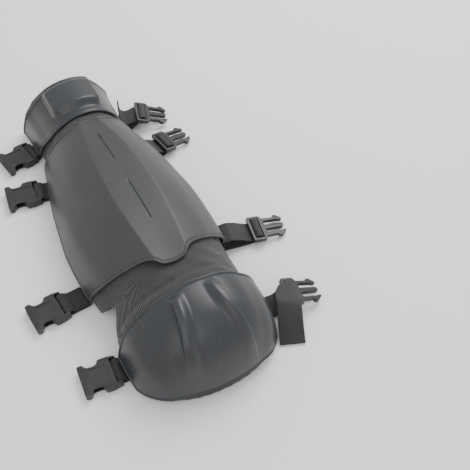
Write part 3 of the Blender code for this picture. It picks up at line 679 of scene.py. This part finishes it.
def makeAnkle():
    arc = guard["ankleHeight"] * math.pi / 2
    down = np.concatenate((np.linspace(0, 0.42, 64), np.linspace(0.43, 0.90, 36),
                           np.linspace(0.91, 0.95, 7)))[None, :]
    part = closeEnds(76, 0.075, 8)[:, None]
    turn = math.pi / 2 * (1 - down)
    low = rowAt(readCurve(ankle["low"], down) * guard["length"], turn)
    row = low + (ankle["highRow"] - low) * part
    down = np.broadcast_to(down, row.shape)
    turn = np.broadcast_to(turn, row.shape)
    face = facePoint(row, turn)
    fromLow = np.linalg.norm(face - face[:1], axis=-1)
    x = down * arc - ankle["bossHalf"] - ankle["bossSlope"] / 2 + ankle["corner"]
    y = ankle["bossLow"] - fromLow + ankle["corner"]
    outside = np.hypot(np.maximum(x, 0), np.maximum(y, 0)) + np.minimum(np.maximum(x, y), 0)
    outside -= ankle["corner"]
    high = ease(0.5 - outside / ankle["bossSlope"])
    rise = ankle["bossRise"] * high * (1 - 0.4 * ease((part - 0.80) / 0.2))
    return wholeShell("ankleShell", "ankle_plate", "gloss_shell", (row, turn, rise, down))


knee = {"high": ((0.0, 0.181), (0.50, 0.180), (0.96, 0.170)), "lowRow": 0.45, "side": 0.95,
        "ribs": ((0.000, 0.210), (0.04, 0.195), (0.08, 0.165), (0.12, 0.142), (0.18, 0.128)),
        "fade": ((0.000, 0.0), (0.012, 0.25), (0.035, 1.0), (0.150, 1.0), (0.166, 0.0),
                 (0.2, 0.0)),
        "ribRise": 0.0042, "ribWide": 0.0045, "ribSlope": 0.010, "ribFoot": 0.004}


def makeKnee():
    down = np.concatenate((np.linspace(0, 0.60, 84), np.linspace(0.61, 0.90, 22),
                           np.linspace(0.91, 0.95, 7)))[None, :]
    part = closeEnds(104, 0.05, 7)[:, None]
    turn = math.pi / 2 * (1 - down)
    high = rowAt(readCurve(knee["high"], down) * guard["length"], turn)
    row = knee["lowRow"] + (high - knee["lowRow"]) * part
    down = np.broadcast_to(down, row.shape)
    turn = np.broadcast_to(turn, row.shape)
    face = facePoint(row, turn)
    away = facePoint(row, math.pi / 2)[..., 0] - face[..., 0]
    along = follow(range(lastRow + 1), sectionRows[:, 0], row)
    centre = readCurve(knee["ribs"], along) * guard["width"]
    beside = away - centre
    inner = ease(1 + (beside + knee["ribWide"] / 2) / knee["ribSlope"])
    outer = ease(1 - (beside - knee["ribWide"] / 2) / knee["ribFoot"])
    rise = knee["ribRise"] * np.minimum(inner, outer) * readCurve(knee["fade"], along)
    return wholeShell("kneeShell", "knee_cap", "gloss_shell", (row, turn, rise, down))


makeShin()
makeAnkle()
makeKnee()
print("shells made")

# Straps: webbing sewn to the pad's flank, round a bar and back

strap = {
    "left": (("ankle", 0.903, 0.010, -9, 0.003), ("calf", 0.742, 0.018, 8, 0.010),
             ("shin", 0.380, 0.030, -4, 0.018), ("knee", 0.150, 0.010, 5, 0.003)),
    "right": (("ankle", 0.900, 0.034, -17, 0.019, 0.003), ("calf", 0.738, 0.030, 9, 0.010, 0.002),
              ("shin", 0.375, 0.047, -11, 0.0075, 0.002),
              ("knee", 0.145, 0.033, -8, 0.020, 0.003)),
    "tailLength": 0.040,
    "tails": {"ankle": ((0.15, 0.36), (0.35, 0.30), (0.50, 0.40), (0.56, 0.62), (0.54, 0.85)),
              "calf": ((0.15, 0.30), (0.30, 0.40), (0.42, 0.44), (0.50, 0.40)),
              "shin": ((0.15, 0.20), (0.40, 0.34), (0.70, 0.44), (0.92, 0.40), (1.00, 0.26),
                       (0.94, 0.14))},
    "kneeTurn": 76, "kneeLength": 0.046,
    "kneeFalls": ((0.09, 1.02), (0.18, 1.00), (0.36, 0.78), (0.58, 0.46), (0.80, 0.16),
                  (1.00, 0.0)),
    "rootHeight": 0.028, "floorBend": 0.005,
}
buckle = {"bar": 0.0034, "barHigh": 0.0032, "slot": 0.0042, "slotGap": 0.0012,
          "socketLong": 0.027, "socketHigh": 0.0062, "socketWide": 0.029, "wall": 0.0022,
          "length": 0.044, "half": 0.0194, "prong": 0.026, "prongWide": 0.0042,
          "prongGap": 0.0006, "catch": 0.0022, "shoulder": 0.005}
buckle["ladder"] = 2 * (buckle["bar"] + buckle["slot"])
buckle["maleLong"] = buckle["ladder"] + buckle["shoulder"] + buckle["prong"]
buckle["maleHigh"] = buckle["socketHigh"] - 2 * buckle["prongGap"]
buckle["femaleHigh"] = buckle["socketHigh"] + 2 * buckle["wall"]


def rootLines(right, middle):
    lines = []
    centreOff = guard["webGap"] + guard["webThick"] / 2
    for share in (1.0, 0.75, 0.5, 0.32):
        height = guard["lift"] + (strap["rootHeight"] - guard["lift"]) * share
        along = middle + np.array((-0.5, 0.0, 0.5)) * guard["webWidth"]
        turn = np.full(3, 0.1)
        for _ in range(3):
            row = rowAt(along, turn)
            turn = turnAtHeight(row, height)
        lines.append(offFace(row, math.pi - turn if right else turn, np.full(3, centreOff)))
    return lines


def chamfered(points, cut=0.0013):
    path = [points[0]]
    for k in range(1, len(points) - 1):
        here = Vector(points[k])
        for other in (points[k - 1], points[k + 1]):
            path.append(tuple(here + (Vector(other) - here).normalized() * cut))
    return path + [points[-1]]


def floorBendPath():
    half = guard["webThick"] / 2
    bend = strap["floorBend"]
    return [(bend * (1 - math.cos(a)), half + bend * (1 - math.sin(a)))
            for a in (math.radians(20), math.radians(55), math.radians(90))]


def strapLines(right, middle, heading, path, slope=None):
    side = 1 if right else -1
    out = np.array((side * math.cos(heading), math.sin(heading), 0))
    width = np.array((-math.sin(heading), side * math.cos(heading), 0)) * side
    lines = rootLines(right, middle)
    base = lines[-1][1] * (1, 1, 0)
    web = guard["webWidth"]
    spread = [lines[-1][k] - base - width * (k - 1) * web / 2 - (0, 0, lines[-1][1][2])
              for k in range(3)]
    for way, height in path:
        fade = 1 - ease((way - strap["floorBend"] / 2) / strap["floorBend"])
        centre = base + out * way + (0, 0, height)
        lines.append(np.array([centre + width * (k - 1) * web / 2 + spread[k] * fade
                               for k in range(3)]))
    if slope is not None:
        way, height = path[-1]
        pivot = base + out * way - width * (web / 2 + guard["webGap"])
        for share in (0.25, 0.5, 0.75, 1.0):
            swing = np.array(Matrix.Rotation(math.radians(strap["kneeTurn"]) * share, 3, "Z"))
            arms = [swing @ (width * (web * k / 2 + guard["webGap"])) for k in range(3)]
            lift = height + guard["webGap"] * share
            lines.append(np.array([pivot + arm + (0, 0, lift - slope * float(arm @ out))
                                   for arm in arms]))
        fold = lines[-1]
        level = guard["webThick"] / 2
        for share, left in strap["kneeFalls"]:
            ahead = swing @ out * -strap["kneeLength"] * share
            moved = fold + ahead
            moved[:, 2] = level + (fold[:, 2] - level) * left
            lines.append(moved)
    return np.array(lines), base, out


def webPiece(name, node, lines):
    # Smooth ribbon through the lines, with rounded woven edges
    steps = np.linalg.norm(np.diff(lines[:, 1], axis=0), axis=1)
    reach = np.concatenate(([0], steps.cumsum()))
    at = np.linspace(0, reach[-1], max(30, int(reach[-1] / 0.0007)))
    smoothLine = np.stack([np.stack([np.interp(at, reach, lines[:, k, axis])
                                     for axis in range(3)], -1)
                           for k in range(3)], 1)
    for _ in range(6):
        smoothLine[1:-1] = (smoothLine[:-2] + 2 * smoothLine[1:-1] + smoothLine[2:]) / 4
    share = np.concatenate(([0, 0.012, 0.03], np.linspace(0.06, 0.94, 17), [0.97, 0.988, 1.0]))
    first, centre, last = (smoothLine[:, k][:, None] for k in range(3))
    s = share[None, :, None]
    surface = np.where(s < 0.5, first + (centre - first) * 2 * s,
                       centre + (last - centre) * (2 * s - 1))
    along = np.gradient(surface, axis=0)
    across = np.gradient(surface, axis=1)
    normal = np.cross(across, along)
    normal /= np.linalg.norm(normal, axis=-1, keepdims=True)
    edge = np.minimum(share, 1 - share) * guard["webWidth"]
    thick = guard["webThick"] / 2 * (0.35 + 0.65 * np.sqrt(np.clip(edge / 0.0009, 0, 1)))
    top = surface + normal * thick[None, :, None]
    bottom = surface - normal * thick[None, :, None]
    uv = np.stack(np.broadcast_arrays((share * guard["webWidth"])[None, :], at[:, None]), -1)
    piece = wallPiece(name, top, bottom, uv, 0)
    finishPiece(piece, "webbing")
    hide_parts(node)
    return piece


def standing(piece, base, out, way, height=0.0, pitch=0.0):
    up = Vector((0, 0, 1))
    out = Vector(out)
    forward = out * math.cos(pitch) - up * math.sin(pitch)
    top = out * math.sin(pitch) + up * math.cos(pitch)
    place = Matrix((forward, top.cross(forward), top)).transposed().to_4x4()
    move = Matrix.Translation(Vector(base) + Vector(guard["shift"]) + out * way + up * height)
    piece.data.transform(move @ place)


def cutBy(piece, tool):
    applied(piece, "BOOLEAN", operation="DIFFERENCE", solver="EXACT", object=tool)
    bpy.data.objects.remove(tool)


def blockTool(low, high):
    bpy.ops.object.select_all(action="DESELECT")
    middle = [(a + b) / 2 for a, b in zip(low, high)]
    bpy.ops.mesh.primitive_cube_add(size=1, location=middle)
    tool = bpy.context.object
    tool.scale = [b - a for a, b in zip(low, high)]
    bpy.ops.object.transform_apply(location=True, rotation=False, scale=True)
    return tool


def outlinePlate(name, loops, height):
    # A filled flat curve through the loops, raised to a plate on z 0
    curve = bpy.data.curves.new(name, "CURVE")
    curve.dimensions = "2D"
    curve.fill_mode = "BOTH"
    curve.extrude = height / 2
    for loop in loops:
        line = curve.splines.new("POLY")
        line.points.add(len(loop) - 1)
        for point, (x, y) in zip(line.points, loop):
            point.co = (x, y, height * 0, 1)
        line.use_cyclic_u = True
    piece = bpy.data.objects.new(name, curve)
    bpy.context.scene.collection.objects.link(piece)
    bpy.ops.object.select_all(action="DESELECT")
    piece.select_set(True)
    bpy.context.view_layer.objects.active = piece
    bpy.ops.object.convert(target="MESH")
    bpy.ops.object.mode_set(mode="EDIT")
    bpy.ops.mesh.select_all(action="SELECT")
    bpy.ops.mesh.remove_doubles(threshold=0.000001)
    bpy.ops.mesh.normals_make_consistent(inside=False)
    bpy.ops.object.mode_set(mode="OBJECT")
    piece.data.transform(Matrix.Translation((0, 0, height / 2)))
    return piece


def mirrored(half):
    return list(half) + [(x, -y) for x, y in reversed(half)]


def rectangle(lowX, highX, halfY):
    return ((lowX, -halfY), (highX, -halfY), (highX, halfY), (lowX, halfY))


def makeSocketBuckle(name, base, out, way):
    half = buckle["half"]
    wide = buckle["socketWide"] / 2
    waist = wide - 0.0008
    slotEnd = buckle["bar"] + buckle["slot"]
    rear = slotEnd + 0.003
    front = buckle["length"]
    waistStart = front - buckle["socketLong"] + 0.004
    waistEnd = front - 0.009
    outline = mirrored([
        (0.0, half - 0.0035), (0.0012, half - 0.0016), (rear, half), (waistStart - 0.003, half),
        (waistStart - 0.001, half - 0.0006), (waistStart + 0.001, waist + 0.0012),
        (waistStart + 0.003, waist + 0.0003), (waistStart + 0.005, waist),
        (waistEnd - 0.004, waist), (waistEnd - 0.002, waist + 0.0004), (waistEnd, waist + 0.0015),
        (waistEnd + 0.0016, half - 0.0012), (waistEnd + 0.003, half), (front - 0.0015, half),
        (front, half - 0.0015)])
    high = buckle["femaleHigh"]
    piece = outlinePlate("socket" + name, [outline], high)
    applied(piece, "BEVEL", width=0.0009, segments=3, limit_method="ANGLE",
            angle_limit=math.radians(50))
    cutBy(piece, blockTool((front - buckle["socketLong"], -wide, buckle["wall"]),
                           (front + 0.002, wide, buckle["wall"] + buckle["socketHigh"])))
    barLow = guard["webThick"] + 2 * guard["webGap"]
    barHigh = barLow + buckle["barHigh"]
    across = guard["webWidth"] / 2 + guard["webGap"]
    cutBy(piece, blockTool((-0.002, -across, -0.002), (slotEnd, across, barLow)))
    cutBy(piece, blockTool((-0.002, -across, barHigh), (slotEnd, across, high + 0.002)))
    cutBy(piece, blockTool((buckle["bar"], -across, barLow - 0.001),
                           (slotEnd, across, barHigh + 0.001)))
    # Shallow panel on the top face
    cutBy(piece, blockTool((rear + 0.0025, -wide + 0.004, high - 0.0005),
                           (waistEnd - 0.001, wide - 0.004, high + 0.002)))
    smooth(piece, 35)
    standing(piece, base, out, way)
    finishPiece(piece, "buckle_plastic")
    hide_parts("socket_buckle_" + name.lower())


def makeProngBuckle(name, base, out, way, height, pitch):
    half = buckle["half"]
    start = buckle["ladder"]
    shoulder = start + buckle["shoulder"]
    tip = buckle["maleLong"]
    catch = buckle["socketWide"] / 2 + buckle["catch"]
    stem = buckle["socketWide"] / 2 - buckle["prongGap"]
    inner = stem - buckle["prongWide"]
    guide = buckle["prongWide"] * 0.8
    outline = mirrored([
        (0.0, half - 0.0022), (0.0007, half - 0.0007), (0.0022, half), (start, half),
        (start + 0.0018, half - 0.0006), (start + 0.003, half - 0.002), (shoulder, stem + 0.0004),
        (tip - 0.0125, stem - 0.0002), (tip - 0.0108, catch - 0.0004), (tip - 0.0100, catch),
        (tip - 0.0065, catch - 0.0002), (tip - 0.0035, stem - 0.0002),
        (tip - 0.0008, stem - 0.0024),
        (tip, inner - 0.0002), (tip - 0.0006, inner - 0.0010), (tip - 0.002, inner - 0.0014),
        (tip - 0.009, inner), (shoulder + 0.001, inner), (shoulder, inner - 0.001),
        (shoulder, guide + 0.0015), (shoulder + 0.001, guide), (tip - 0.004, guide),
        (tip - 0.002, guide * 0.8), (tip - 0.001, guide * 0.35)])
    across = guard["webWidth"] / 2 + guard["webGap"]
    bar, slot = buckle["bar"], buckle["slot"]
    piece = outlinePlate("prong" + name, [outline, rectangle(bar, bar + slot, across),
                                          rectangle(2 * bar + slot, start, across)],
                         buckle["maleHigh"])
    applied(piece, "BEVEL", width=0.0006, segments=3, limit_method="ANGLE",
            angle_limit=math.radians(50))
    smooth(piece, 35)
    standing(piece, base, out, way, height, pitch)
    finishPiece(piece, "buckle_plastic")
    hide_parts("prong_buckle_" + name.lower())


def makeLeftSide():
    half = guard["webThick"] / 2
    layer = guard["webThick"] + guard["webGap"]
    over = guard["webThick"] + 3 * guard["webGap"] + buckle["barHigh"] + half
    for name, place, reach, turn, fold in strap["left"]:
        start = reach - guard["webGap"] - half
        riseAt = start + buckle["bar"] + buckle["slotGap"] + half
        back = start - buckle["slotGap"] - half
        points = [floorBendPath()[-1], (riseAt, half), (riseAt, over), (back, over)]
        if fold > 0.005:
            points += [(back - 0.004, layer + half), (back - 0.004 - fold, layer + half)]
        else:
            points += [(back - 0.001, layer + half + 0.0005)]
        path = floorBendPath()[:-1] + chamfered(points)
        lines, base, out = strapLines(False, place * guard["length"], math.radians(turn), path)
        webPiece("webLeft" + name.title(), "left_strap_" + name, lines)
        makeSocketBuckle(name.title(), base, out, start)


def makeRightSide():
    half = guard["webThick"] / 2
    tailLevel = -(guard["webGap"] + half)
    mainLevel = tailLevel - guard["webThick"] - guard["webGap"]
    over = buckle["maleHigh"] + guard["webGap"] + half
    bar, slot = buckle["bar"], buckle["slot"]
    first = bar + slot / 2
    second = 2 * bar + 1.5 * slot
    for name, place, reach, turn, barHeight, tip in strap["right"]:
        start = reach - guard["webGap"] - half
        pitch = math.asin((barHeight - tip) / buckle["maleLong"])
        lead = floorBendPath()
        run = [(start * 0.72, half + max(0.0, barHeight - 0.0105) * 0.12)]
        up = [(second - 0.008, mainLevel), (second, mainLevel), (second, over)]
        down = [(first, over), (first, tailLevel), (-0.001, tailLevel)]
        onLadder = up if name == "knee" else up + down
        threaded = [(start + x * math.cos(pitch) + z * math.sin(pitch),
                     barHeight - x * math.sin(pitch) + z * math.cos(pitch)) for x, z in onLadder]
        slope = None
        if name == "knee":
            path = lead[:-1] + chamfered([lead[-1]] + run + threaded)
            slope = math.tan(pitch)
        else:
            long = strap["tailLength"]
            tail = [(start - long * back, long * rise) for back, rise in strap["tails"][name]]
            path = lead[:-1] + chamfered([lead[-1]] + run + threaded)[:-1] + [threaded[-1]] + tail
        lines, base, out = strapLines(True, place * guard["length"], math.radians(turn), path,
                                      slope)
        webPiece("webRight" + name.title(), "right_strap_" + name, lines)
        makeProngBuckle(name.title(), base, out, start, barHeight, pitch)


makeLeftSide()
makeRightSide()
print("straps and buckles made")

# Floor, light and camera

studio = {"camera": (-0.1861, -0.6002, 0.7691), "down": 51.5, "ahead": (0.477, 0.879),
          "lens": 58.6, "floor": (0.90, 0.90, 0.90), "world": 0.95}


def makeStudio():
    bpy.ops.object.select_all(action="DESELECT")
    bpy.ops.mesh.primitive_plane_add(size=8, location=(0, 0, 0))
    floor = bpy.context.object
    floor.name = "paleFloor"
    paper = bpy.data.materials.new("paper")
    paper.use_nodes = True
    shader = paper.node_tree.nodes["Principled BSDF"]
    shader.inputs["Base Color"].default_value = (*studio["floor"], 1)
    shader.inputs["Roughness"].default_value = 0.9
    floor.data.materials.append(paper)
    world = bpy.data.worlds.new("studioWorld")
    bpy.context.scene.world = world
    world.use_nodes = True
    world.node_tree.nodes["Background"].inputs[0].default_value = (1, 1, 1, 1)
    world.node_tree.nodes["Background"].inputs[1].default_value = studio["world"]
    for name, place, size, power in (("keyLight", (0.9, 0.5, 1.3), 1.0, 22.0),
                                     ("fillLight", (-0.6, -0.9, 1.4), 1.2, 6.0)):
        lamp = bpy.data.lights.new(name, "AREA")
        lamp.shape = "RECTANGLE"
        lamp.size = size
        lamp.size_y = size
        lamp.energy = power
        light = bpy.data.objects.new(name, lamp)
        light.location = place
        light.rotation_euler = (-Vector(place)).to_track_quat("-Z", "Y").to_euler()
        bpy.context.scene.collection.objects.link(light)
    camera = bpy.data.objects.new("camera", bpy.data.cameras.new("camera"))
    camera.data.lens = studio["lens"]
    camera.data.clip_start = 0.01
    down = math.radians(studio["down"])
    ahead = Vector((*studio["ahead"], 0)).normalized()
    look = ahead * math.cos(down) - Vector((0, 0, 1)) * math.sin(down)
    camera.location = studio["camera"]
    camera.rotation_euler = look.to_track_quat("-Z", "Y").to_euler()
    bpy.context.scene.collection.objects.link(camera)
    bpy.context.scene.camera = camera


makeStudio()
print("studio ready")
